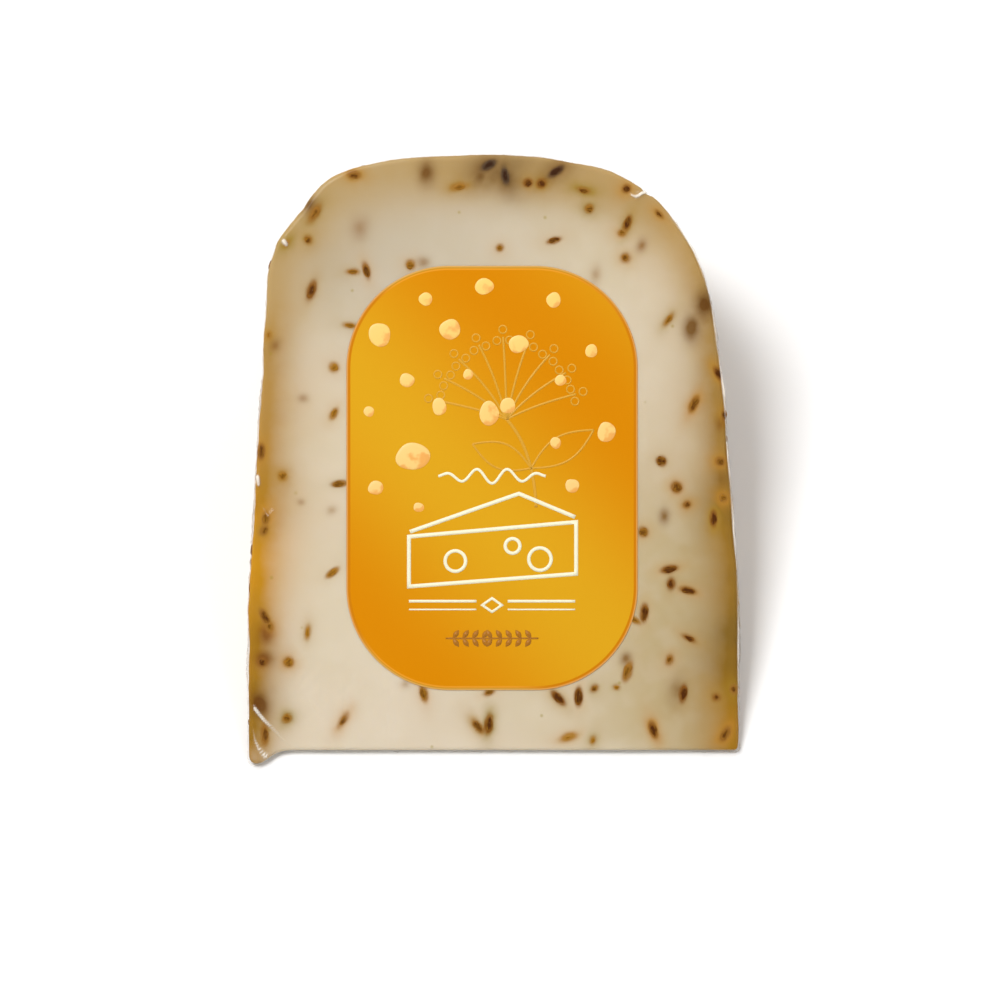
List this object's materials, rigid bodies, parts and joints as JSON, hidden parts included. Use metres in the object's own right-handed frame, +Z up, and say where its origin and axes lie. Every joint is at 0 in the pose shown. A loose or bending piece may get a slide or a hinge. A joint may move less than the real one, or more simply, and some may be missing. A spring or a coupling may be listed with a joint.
{
  "type": "cheese wedge",
  "caption": "Wedge of semi-hard cheese with whole seeds, cut from a flat round wheel and sealed in a clear shrink bag with a plain label, lying on its back cut face.",
  "frame": {"origin": "middle of the part's box, on the surface that the wedge lies on", "axes": "+X runs along the wheel's axis, across the wedge; +Y runs from the nose to the rim; +Z points up, away from the surface it lies on"},
  "size_m": [0.1014, 0.1234, 0.054],
  "materials": {
    "cheese_paste": "smooth, slightly translucent cut paste, darker and yellower towards the rind",
    "seed_hull": "dark brown, satin, with a paler kernel where the knife cut through",
    "clear_film": "clear and glossy, with fine creases at the edges",
    "label_paper": "coated paper, amber to gold, printed with pale spots"
  },
  "bodies": {
    "root": {"cheese": "cheese_paste", "long_seed_01": "seed_hull", "long_seed_02": "seed_hull", "long_seed_03": "seed_hull", "long_seed_04": "seed_hull", "long_seed_05": "seed_hull", "long_seed_06": "seed_hull", "long_seed_07": "seed_hull", "long_seed_08": "seed_hull", "long_seed_09": "seed_hull", "long_seed_10": "seed_hull", "long_seed_11": "seed_hull", "long_seed_12": "seed_hull", "long_seed_13": "seed_hull", "long_seed_14": "seed_hull", "long_seed_15": "seed_hull", "long_seed_16": "seed_hull", "long_seed_17": "seed_hull", "long_seed_18": "seed_hull", "long_seed_19": "seed_hull", "long_seed_20": "seed_hull", "long_seed_21": "seed_hull", "long_seed_22": "seed_hull", "long_seed_23": "seed_hull", "long_seed_24": "seed_hull", "long_seed_25": "seed_hull", "long_seed_26": "seed_hull", "long_seed_27": "seed_hull", "long_seed_28": "seed_hull", "long_seed_29": "seed_hull", "long_seed_30": "seed_hull", "long_seed_31": "seed_hull", "long_seed_32": "seed_hull", "long_seed_33": "seed_hull", "long_seed_34": "seed_hull", "round_seed_01": "seed_hull", "round_seed_02": "seed_hull", "round_seed_03": "seed_hull", "round_seed_04": "seed_hull", "round_seed_05": "seed_hull", "round_seed_06": "seed_hull", "round_seed_07": "seed_hull", "round_seed_08": "seed_hull", "round_seed_09": "seed_hull", "round_seed_10": "seed_hull", "round_seed_11": "seed_hull", "round_seed_12": "seed_hull", "round_seed_13": "seed_hull", "round_seed_14": "seed_hull", "round_seed_15": "seed_hull", "round_seed_16": "seed_hull", "round_seed_17": "seed_hull", "shrink_bag": "clear_film", "label": "label_paper"}
  },
  "joints": []
}
